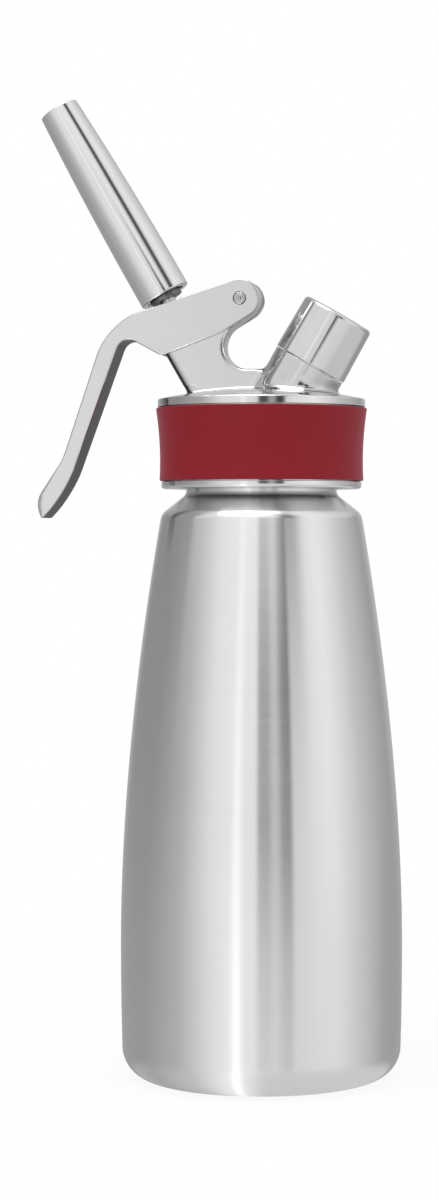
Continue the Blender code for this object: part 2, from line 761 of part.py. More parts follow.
def build_lever():
    width = PLATE_THICKNESS + 2 * (SEAT_GAP + LEVER_CHEEK)
    lever = plate("lever", lever_outline(), width, LEVER_EDGE, pivot)
    left = -BLOCK_HALF_WIDTH - SWING_GAP
    right = PIVOT_REACH + LEVER_END_RADIUS + OVERRUN
    web_end = PIVOT_REACH - KNUCKLE_RADIUS - LEVER_WEB
    low = GLAND_FLOOR
    high = WEB_TOP + LEVER_WEB
    pocket = [
        (left, low),
        (left, WEB_UNDERSIDE + WEB_SLOPE * left),
        (web_end, WEB_UNDERSIDE + WEB_SLOPE * web_end),
        (web_end, high),
        (right, high),
        (right, low),
    ]
    pocket = plate("lever_pocket", pocket, PLATE_THICKNESS + 2 * SEAT_GAP, 0, valve_axis, cutters)
    cut(lever, pocket)
    half = STEM_RADIUS + THREAD_GAP
    travel = SWING_GAP * 1.5
    slot = arc((0, 0), half, 90, 270, 8) + arc((travel, 0), half, -90, 90, 8)
    slot = plate("stem_slot", slot, LEVER_WEB * 5, 0, valve_axis, cutters)
    slot.rotation_euler = (math.pi / 2, 0, 0)
    slot.location = (0, 0, WEB_UNDERSIDE + LEVER_WEB)
    cut(lever, slot)
    hole = round_cutter("lever_hole", PIN_RADIUS + SEAT_GAP, -width, width, pivot)
    hole.rotation_euler = (math.pi / 2, 0, 0)
    cut(lever, hole)
    return finish(lever, polished)


def build_pin():
    half = PLATE_THICKNESS / 2 + SEAT_GAP + LEVER_CHEEK + PIN_PROUD
    points = [
        (0, half),
        (PIN_RADIUS - PIN_DOME, half),
        (PIN_RADIUS, half - PIN_DOME),
        (PIN_RADIUS, -half + PIN_DOME),
        (PIN_RADIUS - PIN_DOME, -half),
        (0, -half),
    ]
    pin = turned("lever_pin", points, SMALL_STEPS, pivot)
    pin.rotation_euler = (math.pi / 2, 0, 0)
    return finish(pin, polished)


def build_adapter():
    points = [
        (ADAPTER_BORE_RADIUS, ADAPTER_TOP),
        (ADAPTER_RADIUS, ADAPTER_TOP),
        (ADAPTER_RADIUS, ADAPTER_FOOT),
        (ADAPTER_BORE_RADIUS, ADAPTER_FOOT),
    ]
    adapter = turned("nozzle_adapter", points, TUBE_STEPS, valve_axis, closed=True)
    ridge = thread(
        "adapter_thread",
        ADAPTER_RADIUS,
        ADAPTER_RADIUS + FINE_THREAD_HEIGHT,
        FINE_THREAD_BASE,
        FINE_THREAD_CREST,
        FINE_PITCH,
        NOZZLE_THREAD_TURNS,
        ADAPTER_FOOT + NOZZLE_THREAD_START,
        TUBE_STEPS,
        valve_axis,
    )
    join(adapter, ridge)
    return finish(adapter, polished)


def build_nozzle():
    """The nozzle: it narrows faster near its tip, has a threaded foot and seats on its washer."""
    bore = ADAPTER_RADIUS + FINE_THREAD_HEIGHT + SEAT_GAP
    shoulder = ADAPTER_TOP + NOZZLE_WASHER_THICKNESS + 2 * SEAT_GAP
    tip = NOZZLE_FOOT + NOZZLE_LENGTH
    mouth = NOZZLE_TIP_RADIUS - NOZZLE_WALL
    outside = []
    levels = 5
    for i in range(levels):
        share = 1 - i / levels
        narrowing = (NOZZLE_FOOT_RADIUS - NOZZLE_TIP_RADIUS) * share ** 2
        outside.append((NOZZLE_FOOT_RADIUS - narrowing, NOZZLE_FOOT + NOZZLE_LENGTH * share, 0))
    outside += [(NOZZLE_FOOT_RADIUS, NOZZLE_FOOT, NOZZLE_EDGE), (bore, NOZZLE_FOOT, 0)]
    inside = [(bore, shoulder), (mouth, shoulder), (mouth, tip)]
    nozzle = turned("nozzle", filleted(outside, 2) + inside, TUBE_STEPS, valve_axis, closed=True)
    drop = thread_drop(ADAPTER_RADIUS, bore, FINE_THREAD_HEIGHT, FINE_THREAD_BASE, FINE_THREAD_CREST)
    ridge = thread(
        "nozzle_thread",
        bore,
        bore - FINE_THREAD_HEIGHT,
        FINE_THREAD_BASE,
        FINE_THREAD_CREST,
        FINE_PITCH,
        NOZZLE_THREAD_TURNS,
        ADAPTER_FOOT + NOZZLE_THREAD_START - drop,
        TUBE_STEPS,
        valve_axis,
    )
    join(nozzle, ridge)
    low = ADAPTER_TOP + SEAT_GAP
    ring(
        "nozzle_washer",
        ADAPTER_BORE_RADIUS,
        bore - SEAT_GAP,
        low,
        low + NOZZLE_WASHER_THICKNESS,
        SMALL_STEPS,
        valve_axis,
        silicone,
    )
    return finish(nozzle, polished)


def build_port():
    """What the charger port holds: insert, needle, seal, check valve disc and its plug."""
    low = SPIGOT_FLOOR + SEAT_GAP
    top = low + INSERT_HEIGHT
    recess = top - CHARGER_NECK_DEPTH
    outer = SPIGOT_BORE_RADIUS - SEAT_GAP
    needle_bore = NEEDLE_RADIUS + SEAT_GAP
    flange_bore = NEEDLE_FLANGE_RADIUS + SEAT_GAP
    flange_top = low + NEEDLE_FLANGE_THICKNESS
    points = [
        (CHARGER_NECK_RADIUS, top),
        (outer, top),
        (outer, low),
        (flange_bore, low),
        (flange_bore, flange_top),
        (needle_bore, flange_top),
        (needle_bore, recess),
        (CHARGER_NECK_RADIUS, recess),
    ]
    finish(turned("needle_insert", points, TUBE_STEPS, port_axis, closed=True), brass)
    tip = recess + SEAT_GAP + CHARGER_SEAL_THICKNESS + NEEDLE_PROUD
    points = [
        (0, tip),
        (NEEDLE_RADIUS, tip - NEEDLE_POINT),
        (NEEDLE_RADIUS, flange_top - SEAT_GAP),
        (NEEDLE_FLANGE_RADIUS, flange_top - SEAT_GAP),
        (NEEDLE_FLANGE_RADIUS, low),
        (0, low),
    ]
    finish(turned("charger_needle", points, SMALL_STEPS, port_axis), polished)
    seat = recess + SEAT_GAP
    seal_outer = CHARGER_NECK_RADIUS - SEAT_GAP
    seal_top = seat + CHARGER_SEAL_THICKNESS
    ring("charger_seal", needle_bore, seal_outer, seat, seal_top, SMALL_STEPS, port_axis, silicone)
    disc_top = CHECK_POCKET_TOP - SEAT_GAP
    disc_low = disc_top - CHECK_DISC_THICKNESS
    disc_radius = CHECK_POCKET_RADIUS - SEAT_GAP
    points = [(0, disc_top), (disc_radius, disc_top), (disc_radius, disc_low), (0, disc_low)]
    finish(turned("check_valve_disc", points, SMALL_STEPS, port_axis), black_rubber)
    plug_top = disc_low - SEAT_GAP
    ring(
        "check_valve_plug",
        CHANNEL_RADIUS,
        disc_radius,
        plug_top - CHECK_PLUG_LENGTH,
        plug_top,
        SMALL_STEPS,
        port_axis,
        polished,
    )


def build_cap():
    """The screw cap: a plain cup with a slightly domed roof, and its liner."""
    foot = BOSS_TOP + SEAT_GAP
    top = foot + CAP_LENGTH
    bore = SPIGOT_RADIUS + FINE_THREAD_HEIGHT + SEAT_GAP
    liner_low = SPIGOT_TOP + SEAT_GAP
    roof = liner_low + CAP_LINER_THICKNESS + SEAT_GAP
    outside = [
        (0, top + CAP_CROWN, 0),
        (CAP_TOP_RADIUS, top, CAP_FILLET),
        (CAP_RADIUS, foot, CAP_EDGE),
        (bore, foot, 0),
    ]
    inside = [(bore, roof), (0, roof)]
    cap = turned("protective_cap", filleted(outside, 3) + inside, CAP_STEPS, port_axis)
    drop = thread_drop(SPIGOT_RADIUS, bore, FINE_THREAD_HEIGHT, FINE_THREAD_BASE, FINE_THREAD_CREST)
    ridge = thread(
        "cap_thread",
        bore,
        bore - FINE_THREAD_HEIGHT,
        FINE_THREAD_BASE,
        FINE_THREAD_CREST,
        FINE_PITCH,
        CAP_THREAD_TURNS,
        BOSS_TOP + CAP_THREAD_START - drop,
        TUBE_STEPS,
        port_axis,
    )
    join(cap, ridge)
    liner_radius = bore - SEAT_GAP
    liner_top = liner_low + CAP_LINER_THICKNESS
    points = [(0, liner_top), (liner_radius, liner_top), (liner_radius, liner_low), (0, liner_low)]
    finish(turned("cap_liner", points, TUBE_STEPS, port_axis), silicone)
    return finish(cap, polished)


build_bottle()
build_head()
build_band()
build_head_gasket()
build_stem()
build_spring(build_valve_rings())
build_stem_collar()
build_lever()
build_pin()
build_adapter()
build_nozzle()
build_port()
build_cap()

for piece in list(parts.objects) + list(cutters.objects):
    if piece.type == "MESH":
        smooth(piece.data)
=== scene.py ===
import math
import bpy
import bmesh
from mathutils import Matrix, Vector
from mathutils.bvhtree import BVHTree


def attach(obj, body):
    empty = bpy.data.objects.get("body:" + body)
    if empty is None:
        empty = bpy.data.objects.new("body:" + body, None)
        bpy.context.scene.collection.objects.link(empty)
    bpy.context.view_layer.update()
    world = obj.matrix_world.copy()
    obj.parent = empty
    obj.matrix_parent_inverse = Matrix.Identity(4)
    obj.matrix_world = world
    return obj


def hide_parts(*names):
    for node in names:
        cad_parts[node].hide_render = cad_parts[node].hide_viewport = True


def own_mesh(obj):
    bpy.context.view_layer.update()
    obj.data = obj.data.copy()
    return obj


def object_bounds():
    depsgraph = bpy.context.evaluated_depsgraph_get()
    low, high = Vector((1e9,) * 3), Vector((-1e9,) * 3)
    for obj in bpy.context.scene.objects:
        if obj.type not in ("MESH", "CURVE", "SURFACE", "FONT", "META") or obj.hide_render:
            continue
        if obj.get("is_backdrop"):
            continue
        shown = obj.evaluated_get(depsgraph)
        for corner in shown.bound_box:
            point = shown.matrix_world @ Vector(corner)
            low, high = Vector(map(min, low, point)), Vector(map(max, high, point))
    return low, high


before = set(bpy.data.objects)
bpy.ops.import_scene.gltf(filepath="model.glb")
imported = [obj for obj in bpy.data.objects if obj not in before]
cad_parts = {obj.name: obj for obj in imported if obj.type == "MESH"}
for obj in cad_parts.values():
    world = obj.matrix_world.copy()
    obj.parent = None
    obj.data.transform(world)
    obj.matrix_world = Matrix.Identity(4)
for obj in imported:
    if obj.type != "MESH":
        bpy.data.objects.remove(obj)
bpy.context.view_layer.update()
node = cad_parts


# The bottle
# One deep-drawn stainless steel shell, wide at the foot and tapering up to a short shoulder. Its outside is
# brushed round and round on a lathe. The neck is a rolled tube, and the head screws onto its coarse thread.
BOTTLE_RADIUS = 0.05
BOTTLE_WIDEST = 0.05
BOTTLE_FOOT = 0.0492
SHOULDER = (0.0356, 0.2002)
NECK_RADIUS = 0.0268
NECK_FOOT = 0.2072
RIM_HEIGHT = 0.2360
HEEL_HEIGHT = 0.0228
HEEL_ROUNDING = 0.0114
FLAT_RADIUS = 0.030
BOTTLE_WALL = 0.0012
SIDE_STEPS = 35

# A thread ridge's width at its root and at its crest, and its pitch
COARSE_THREAD = (0.0022, 0.001, 0.005)


def round_corners(work, points, roundings):
    """Rounds the corners of a wire, each by its own radius."""
    offsets = []
    for i, (point, rounding) in enumerate(zip(points, roundings)):
        if rounding:
            before = (points[i - 1].co - point.co).normalized()
            after = (points[(i + 1) % len(points)].co - point.co).normalized()
            offsets.append((point, rounding / math.tan(before.angle(after) / 2), rounding))
    for point, offset, rounding in offsets:
        segments = 4 + round(rounding * 900)
        bmesh.ops.bevel(
            work, geom=[point], offset=offset, offset_type="OFFSET", segments=segments,
            profile=0.5, affect="VERTICES", material=-1,
        )
    bmesh.ops.remove_doubles(work, verts=work.verts, dist=1e-6)


def made(name, work):
    """The finished piece, smooth with its own hard edges."""
    mesh = bpy.data.meshes.new(name)
    work.to_mesh(mesh)
    work.free()
    mesh.shade_smooth()
    mesh.set_sharp_from_angle(angle=math.radians(35))
    piece = bpy.data.objects.new(name, mesh)
    bpy.context.scene.collection.objects.link(piece)
    even = piece.modifiers.new("even_faces", "WEIGHTED_NORMAL")
    even.keep_sharp = True
    return piece


def turned(name, corners, place=Matrix(), steps=112):
    """A piece turned on a lathe. The corners of its profile are radius, height and rounding."""
    work = bmesh.new()
    points = [work.verts.new((r, 0, z)) for r, z, rounding in corners]
    for pair in zip(points, points[1:]):
        work.edges.new(pair)
    if corners[0][0] > 0 and corners[-1][0] > 0:
        work.edges.new((points[-1], points[0]))
    round_corners(work, points, [rounding for r, z, rounding in corners])
    bmesh.ops.spin(
        work, geom=work.verts[:] + work.edges[:], cent=(0, 0, 0), axis=(0, 0, 1),
        angle=2 * math.pi, steps=steps, use_merge=True,
    )
    bmesh.ops.remove_doubles(work, verts=work.verts, dist=1e-6)
    bmesh.ops.recalc_face_normals(work, faces=work.faces)
    work.transform(place)
    return made(name, work)


def screw_ridge(name, root, tip, base, crest, pitch, turns, start, place=Matrix(), steps=64):
    """The ridge of a screw thread, wound up a wall from its start height."""
    work = bmesh.new()
    section = [(root, base / 2), (tip, crest / 2), (tip, -crest / 2), (root, -base / 2)]
    points = [work.verts.new((r, 0, z + start)) for r, z in section]
    for pair in zip(points, points[1:] + points[:1]):
        work.edges.new(pair)
    bmesh.ops.spin(
        work, geom=work.verts[:] + work.edges[:], cent=(0, 0, 0), axis=(0, 0, 1),
        dvec=(0, 0, pitch / steps), angle=2 * math.pi * turns, steps=round(steps * turns),
    )
    bmesh.ops.holes_fill(work, edges=[edge for edge in work.edges if edge.is_boundary])
    bmesh.ops.recalc_face_normals(work, faces=work.faces)
    work.transform(place)
    return made(name, work)


def bottle_side(height):
    """Radius of the drawn side at a height."""
    share = (height - BOTTLE_WIDEST) / (SHOULDER[1] - BOTTLE_WIDEST)
    if share > 0:
        return BOTTLE_RADIUS - (BOTTLE_RADIUS - SHOULDER[0]) * share ** 1.8
    return BOTTLE_RADIUS - (BOTTLE_RADIUS - BOTTLE_FOOT) * (1 - height / BOTTLE_WIDEST) ** 2


profile = [(NECK_RADIUS, RIM_HEIGHT, 0), (NECK_RADIUS, NECK_FOOT, 0.0025), (*SHOULDER, 0.0045)]
for step in range(1, SIDE_STEPS + 1):
    height = SHOULDER[1] - (SHOULDER[1] - HEEL_HEIGHT) * step / SIDE_STEPS
    profile.append((bottle_side(height), height, 0))
profile += [(BOTTLE_FOOT, 0, HEEL_ROUNDING), (FLAT_RADIUS, 0, 0), (0, 0, 0)]
bottle = turned("bottle_shell", profile, steps=144)
wall = bottle.modifiers.new("wall", "SOLIDIFY")
wall.thickness = BOTTLE_WALL
wall.offset = -1
bottle.modifiers.move(1, 0)
neck_thread = screw_ridge(
    "neck_ridge", NECK_RADIUS - 0.0004, NECK_RADIUS + 0.0015, *COARSE_THREAD, 2.5, 0.2182,
)


def effect(name, inputs, outputs):
    """An empty node group with its own sockets."""
    group = bpy.data.node_groups.new(name, "ShaderNodeTree")
    for label, kind in inputs:
        group.interface.new_socket(label, in_out="INPUT", socket_type="NodeSocket" + kind)
    for label, kind in outputs:
        group.interface.new_socket(label, in_out="OUTPUT", socket_type="NodeSocket" + kind)
    return group, group.nodes.new("NodeGroupInput"), group.nodes.new("NodeGroupOutput")


def maths(tree, operation, first, second, clamp=False):
    """One arithmetic node between two sockets or numbers."""
    step = tree.nodes.new("ShaderNodeMath")
    step.operation = operation
    step.use_clamp = clamp
    for socket, value in zip(step.inputs, (first, second)):
        if isinstance(value, (int, float)):
            socket.default_value = value
        else:
            tree.links.new(value, socket)
    return step.outputs[0]


def shaded(group, given, out, shade_by, swing_by):
    """Shades the group's colour by one pattern and swings its roughness by another."""
    lift = maths(group, "ADD", maths(group, "MULTIPLY", shade_by, given.outputs["Shade"]), 1)
    tint = group.nodes.new("ShaderNodeVectorMath")
    tint.operation = "SCALE"
    group.links.new(given.outputs["Colour"], tint.inputs[0])
    group.links.new(lift, tint.inputs["Scale"])
    group.links.new(tint.outputs[0], out.inputs["Colour"])
    swung = maths(group, "MULTIPLY", swing_by, given.outputs["Swing"])
    rough = maths(group, "ADD", given.outputs["Roughness"], swung, True)
    group.links.new(rough, out.inputs["Roughness"])


# The marks of tool and hand on steel: fine lines along the cut, and broad soft patches where it was held
group, given, out = effect(
    "tool_marks",
    [("Lines", "Vector"), ("Patches", "Vector"), ("Colour", "Color"), ("Shade", "Float"),
     ("Roughness", "Float"), ("Swing", "Float")],
    [("Colour", "Color"), ("Roughness", "Float"), ("Height", "Float")],
)
lines = group.nodes.new("ShaderNodeTexNoise")
lines.inputs["Scale"].default_value = 1
lines.inputs["Detail"].default_value = 4
lines.inputs["Roughness"].default_value = 0.65
group.links.new(given.outputs["Lines"], lines.inputs["Vector"])
patches = group.nodes.new("ShaderNodeTexNoise")
patches.inputs["Scale"].default_value = 1
patches.inputs["Detail"].default_value = 3
group.links.new(given.outputs["Patches"], patches.inputs["Vector"])
fine = maths(group, "SUBTRACT", lines.outputs["Fac"], 0.5)
broad = maths(group, "SUBTRACT", patches.outputs["Fac"], 0.5)
both = maths(group, "ADD", fine, broad)
shaded(group, given, out, both, both)
group.links.new(lines.outputs["Fac"], out.inputs["Height"])
tool_marks = group


def steel(
    name, colour, roughness, line_scale, place=Matrix(), shade=0.06, swing=0.06, patch_scale=35, bump=0.0,
    anisotropy=0.0,
):
    """A metal whose tool marks are stretched by the line scale, in the frame of its axis."""
    look = bpy.data.materials.new(name)
    look.use_nodes = True
    tree = look.node_tree
    shader = tree.nodes["Principled BSDF"]
    shader.inputs["Metallic"].default_value = 1
    spots = tree.nodes.new("ShaderNodeTexCoord")
    to_axis = tree.nodes.new("ShaderNodeMapping")
    to_axis.vector_type = "TEXTURE"
    to_axis.inputs["Location"].default_value = place.to_translation()
    to_axis.inputs["Rotation"].default_value = place.to_euler()
    tree.links.new(spots.outputs["Object"], to_axis.inputs["Vector"])
    stretch = tree.nodes.new("ShaderNodeMapping")
    stretch.inputs["Scale"].default_value = line_scale
    tree.links.new(to_axis.outputs[0], stretch.inputs["Vector"])
    spread = tree.nodes.new("ShaderNodeMapping")
    spread.inputs["Scale"].default_value = (patch_scale, patch_scale, patch_scale)
    tree.links.new(to_axis.outputs[0], spread.inputs["Vector"])
    marks = tree.nodes.new("ShaderNodeGroup")
    marks.node_tree = tool_marks
    marks.inputs["Colour"].default_value = (*colour, 1)
    marks.inputs["Shade"].default_value = shade
    marks.inputs["Roughness"].default_value = roughness
    marks.inputs["Swing"].default_value = swing
    tree.links.new(stretch.outputs[0], marks.inputs["Lines"])
    tree.links.new(spread.outputs[0], marks.inputs["Patches"])
    tree.links.new(marks.outputs["Colour"], shader.inputs["Base Color"])
    tree.links.new(marks.outputs["Roughness"], shader.inputs["Roughness"])
    if bump:
        relief = tree.nodes.new("ShaderNodeBump")
        relief.inputs["Strength"].default_value = bump
        relief.inputs["Distance"].default_value = 0.0001
        tree.links.new(marks.outputs["Height"], relief.inputs["Height"])
        tree.links.new(relief.outputs[0], shader.inputs["Normal"])
    if anisotropy:
        shader.inputs["Anisotropic"].default_value = anisotropy
        shader.inputs["Anisotropic Rotation"].default_value = 0.25
        around = tree.nodes.new("ShaderNodeTangent")
        around.direction_type = "RADIAL"
        around.axis = "Z"
        tree.links.new(around.outputs[0], shader.inputs["Tangent"])
    return look


def dress(piece, look, body, slot, *nodes):
    """Gives a new piece its finish, the body it moves with and the nodes it stands for."""
    piece.data.materials.clear()
    piece.data.materials.append(look)
    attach(piece, body)
    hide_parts(*nodes)


bottle_steel = steel(
    "bottle_steel", (0.80, 0.80, 0.795), 0.20, (60, 60, 2500), shade=0.05, swing=0.05, patch_scale=28,
    bump=0.1, anisotropy=1.0,
)
dress(bottle, bottle_steel, "bottle", "brushed_steel", "bottle")
dress(neck_thread, bottle_steel, "bottle", "brushed_steel", "bottle")


# The head gasket
# A flat ring of white food-grade silicone, pressed up into the head, that seals on the bottle's rim. It stays
# in the head when the head is unscrewed.
group, given, out = effect(
    "rubber_grain",
    [("Vector", "Vector"), ("Colour", "Color"), ("Shade", "Float"), ("Roughness", "Float"),
     ("Swing", "Float")],
    [("Colour", "Color"), ("Roughness", "Float"), ("Height", "Float")],
)
grain = group.nodes.new("ShaderNodeTexNoise")
grain.inputs["Scale"].default_value = 3800
grain.inputs["Detail"].default_value = 2
group.links.new(given.outputs["Vector"], grain.inputs["Vector"])
cloud = group.nodes.new("ShaderNodeTexNoise")
cloud.inputs["Scale"].default_value = 45
cloud.inputs["Detail"].default_value = 4
group.links.new(given.outputs["Vector"], cloud.inputs["Vector"])
fine = maths(group, "SUBTRACT", grain.outputs["Fac"], 0.5)
broad = maths(group, "SUBTRACT", cloud.outputs["Fac"], 0.5)
shaded(group, given, out, maths(group, "ADD", fine, broad), broad)
group.links.new(grain.outputs["Fac"], out.inputs["Height"])
rubber_grain = group


def rubber(name, colour, roughness, sheen=0.0, shade=0.1, bump=0.15):
    """A moulded elastomer: fine grain, faint clouding and a soft sheen."""
    look = bpy.data.materials.new(name)
    look.use_nodes = True
    tree = look.node_tree
    shader = tree.nodes["Principled BSDF"]
    shader.inputs["Sheen Weight"].default_value = sheen
    shader.inputs["Sheen Roughness"].default_value = 0.4
    shader.inputs["Sheen Tint"].default_value = (1, 0.5, 0.62, 1)
    shader.inputs["Specular IOR Level"].default_value = 0.2
    spots = tree.nodes.new("ShaderNodeTexCoord")
    marks = tree.nodes.new("ShaderNodeGroup")
    marks.node_tree = rubber_grain
    marks.inputs["Colour"].default_value = (*colour, 1)
    marks.inputs["Shade"].default_value = shade
    marks.inputs["Roughness"].default_value = roughness
    marks.inputs["Swing"].default_value = 0.1
    tree.links.new(spots.outputs["Object"], marks.inputs["Vector"])
    tree.links.new(marks.outputs["Colour"], shader.inputs["Base Color"])
    tree.links.new(marks.outputs["Roughness"], shader.inputs["Roughness"])
    relief = tree.nodes.new("ShaderNodeBump")
    relief.inputs["Strength"].default_value = bump
    relief.inputs["Distance"].default_value = 0.0001
    tree.links.new(marks.outputs["Height"], relief.inputs["Height"])
    tree.links.new(relief.outputs[0], shader.inputs["Normal"])
    return look


def refinish(name, look):
    """Puts a finish on a piece that is shown as the CAD made it."""
    node[name].data.materials.clear()
    node[name].data.materials.append(look)


white_silicone = rubber("white_silicone", (0.78, 0.78, 0.75), 0.5)
refinish("head_gasket", white_silicone)


# The head casting
# One polished stainless casting: a threaded collar with a seat for the grip band, a low dome, and on the dome
# a flat bridge that carries the slanted valve block, the lever's knuckle and the boss of the charger port.
# Where bridge and boss run into the dome the casting has soft fillets.
VALVE_AXIS = Matrix.Translation((-0.01345, 0, 0.2414)) @ Matrix.Rotation(math.radians(-30), 4, "Y")
PORT_AXIS = Matrix.Translation((0.0105, 0, 0.2414)) @ Matrix.Rotation(math.radians(30), 4, "Y")
PIVOT = (-0.006785, 0.276656)
DOME_TOP = 0.2448
DOME_CURVE = 0.18093
DOME_EDGE = 0.0355
CROWN_RADIUS = 0.0356
FLANGE_RADIUS = 0.0369
FLANGE_FOOT = 0.2382
BAND_SEAT = 0.0333
LIP_RADIUS = 0.0356
LIP_TOP = 0.2117
COLLAR_FOOT = 0.2092
COLLAR_BORE = 0.0287
GASKET_SEAT = 0.2388
SLAB_RADIUS = 0.037
SLAB_FOOT = 0.2360
BRIDGE_WIDTH = 0.0102
BRIDGE_FOOT = 0.2363
FINE_THREAD = (0.0010, 0.0004, 0.0025)


def dome_height(radius):
    """Height of the dome at a distance from the bottle's axis."""
    return DOME_TOP - DOME_CURVE + math.sqrt(DOME_CURVE ** 2 - radius ** 2)


def arc_corners(centre, radius, start, end, count):
    """Corners that wrap an arc, each rounded by its radius."""
    half = math.radians(end - start) / count / 2
    corners = []
    for i in range(count):
        angle = math.radians(start) + half * (2 * i + 1)
        reach = radius / math.cos(half)
        x = centre[0] + reach * math.cos(angle)
        z = centre[1] + reach * math.sin(angle)
        corners.append((x, z, radius * 0.9995))
    return corners


def plate_work(corners, width, edge=0.0, segments=4):
    """A flat piece, as thick as its width across Y, from the corners of its side view."""
    work = bmesh.new()
    points = [work.verts.new((x, -width / 2, z)) for x, z, rounding in corners]
    for pair in zip(points, points[1:] + points[:1]):
        work.edges.new(pair)
    round_corners(work, points, [rounding for x, z, rounding in corners])
    bmesh.ops.contextual_create(work, geom=work.edges[:])
    raised = bmesh.ops.extrude_face_region(work, geom=work.faces[:])
    far = [part for part in raised["geom"] if isinstance(part, bmesh.types.BMVert)]
    bmesh.ops.translate(work, verts=far, vec=(0, width, 0))
    bmesh.ops.recalc_face_normals(work, faces=work.faces)
    if edge:
        rims = [rim for rim in work.edges if rim.calc_face_angle() > math.radians(60)]
        bmesh.ops.bevel(
            work, geom=rims, offset=edge, offset_type="OFFSET", segments=segments, profile=0.5,
            affect="EDGES", material=-1,
        )
    return work


def worked(piece, *steps):
    """Applies modifiers to a piece, each given as its kind and settings, and drops the tools they used."""
    for kind, settings in steps:
        step = piece.modifiers.new(kind.lower(), kind)
        for setting, value in settings.items():
            setattr(step, setting, value)
    bpy.context.view_layer.update()
    mesh = bpy.data.meshes.new_from_object(piece.evaluated_get(bpy.context.evaluated_depsgraph_get()))
    work = bmesh.new()
    work.from_mesh(mesh)
    bpy.data.meshes.remove(mesh)
    for kind, settings in steps:
        if "object" in settings:
            bpy.data.objects.remove(settings["object"])
    bpy.data.objects.remove(piece)
    return work


def cut_by(tool, operation="DIFFERENCE"):
    """The step that cuts a piece with a tool."""
    return "BOOLEAN", {"operation": operation, "solver": "EXACT", "object": tool}


collar_profile = [
    (DOME_EDGE, dome_height(DOME_EDGE), 0),
    (0.0359, dome_height(0.0359), 0),
    (FLANGE_RADIUS, 0.24095, 0.0005),
    (FLANGE_RADIUS, FLANGE_FOOT, 0.0002),
    (BAND_SEAT, FLANGE_FOOT, 0),
    (BAND_SEAT, LIP_TOP, 0),
    (LIP_RADIUS, LIP_TOP, 0.0003),
    (LIP_RADIUS, COLLAR_FOOT, 0.0011),
    (COLLAR_BORE, COLLAR_FOOT, 0.0003),
    (COLLAR_BORE, GASKET_SEAT, 0),
    (DOME_EDGE, GASKET_SEAT, 0),
]
head_collar = turned("head_collar", collar_profile, steps=144)
slab = [(0, DOME_TOP, 0)]
for step in range(1, 25):
    radius = SLAB_RADIUS * step / 24
    slab.append((radius, dome_height(radius), 0))
slab += [(SLAB_RADIUS, SLAB_FOOT, 0), (0, SLAB_FOOT, 0)]
dome = turned("dome", slab, steps=128)
bridge_corners = [(-0.022283, BRIDGE_FOOT, 0), (-0.034733, 0.257864, 0.0015), (-0.0194048, 0.266714, 0)]
bridge_corners += arc_corners(PIVOT, 0.0066, 152.4872, -52.5529, 3)
bridge_corners += arc_corners((-0.0047874, 0.2597959), 0.008, 127.447, 270, 2)
bridge_corners += [(0.0105, 0.2517959, 0), (0.0105, BRIDGE_FOOT, 0)]
bridge = made("bridge", plate_work(bridge_corners, BRIDGE_WIDTH, 0.0012))
blunt_left = [
    (-0.0102, -0.00512, 0.0034), (0.050, -0.00512, 0), (0.050, 0.00512, 0), (-0.0102, 0.00512, 0.0034),
]
work = plate_work(blunt_left, 0.12)
work.transform(VALVE_AXIS @ Matrix.Rotation(math.radians(-90), 4, "X") @ Matrix.Translation((0, -0.02, 0)))
bridge = made("bridge", worked(bridge, cut_by(made("blunt_left", work), "INTERSECT")))
boss = turned("boss", [(0, 0.020, 0), (0.0133, 0.020, 0), (0.0133, -0.003, 0), (0, -0.003, 0)], PORT_AXIS, 96)

# The three rough shapes become one skin, softened where they meet and true everywhere else
shapes = [dome, bridge, boss]
surfaces = []
block = bmesh.new()
for shape in shapes:
    lone = bmesh.new()
    lone.from_mesh(shape.data)
    surfaces.append(BVHTree.FromBMesh(lone))
    lone.free()
    block.from_mesh(shape.data)
    bpy.data.objects.remove(shape)
block = made("block", block)
block.modifiers.clear()
crown = worked(block, ("REMESH", {"mode": "VOXEL", "voxel_size": 0.00048}))
meeting = []
true_place = {}
for corner in crown.verts:
    near = sorted((surface.find_nearest(corner.co) for surface in surfaces), key=lambda found: found[3])
    meeting.append((near[1][3], corner))
    true_place[corner] = near[0][0]
FILLET_REACH = 0.0030
BOSS_FILLET_REACH = 0.0045
TRUE_BEYOND = 0.0012
soft = [corner for gap, corner in meeting if gap < FILLET_REACH]
wide = [corner for gap, corner in meeting if gap < BOSS_FILLET_REACH and corner.co.x > 0.001]
for gap, corner in meeting:
    if gap > TRUE_BEYOND:
        corner.co = true_place[corner]
for step in range(14):
    bmesh.ops.smooth_vert(crown, verts=soft, factor=0.5, use_axis_x=True, use_axis_y=True, use_axis_z=True)
for step in range(24):
    bmesh.ops.smooth_vert(crown, verts=wide, factor=0.5, use_axis_x=True, use_axis_y=True, use_axis_z=True)
crown = made("head_crown", crown)
crown.modifiers.clear()
blank = [(0, 0.30, 0), (CROWN_RADIUS, 0.30, 0), (CROWN_RADIUS, 0.2384, 0), (0, 0.2384, 0)]
tools = [cut_by(turned("blank", blank, steps=144), "INTERSECT")]
facing = [(0, 0.040, 0), (0.015, 0.040, 0), (0.015, 0.0137, 0), (0, 0.0137, 0)]
tools.append(cut_by(turned("facing", facing, PORT_AXIS)))
gland = [
    (0, 0.030, 0), (0.0042, 0.030, 0), (0.0042, 0.0097, 0), (0.0031, 0.0097, 0), (0.0031, 0.0002, 0),
    (0.0055, 0.0002, 0), (0.0055, -0.0088, 0), (0, -0.0088, 0),
]
tools.append(cut_by(turned("gland", gland, VALVE_AXIS, 48)))
gas_way = [
    (0, 0.0150, 0), (0.0015, 0.0150, 0), (0.0015, 0.0035, 0), (0.0048, 0.0035, 0), (0.0048, -0.0072, 0),
    (0, -0.0072, 0),
]
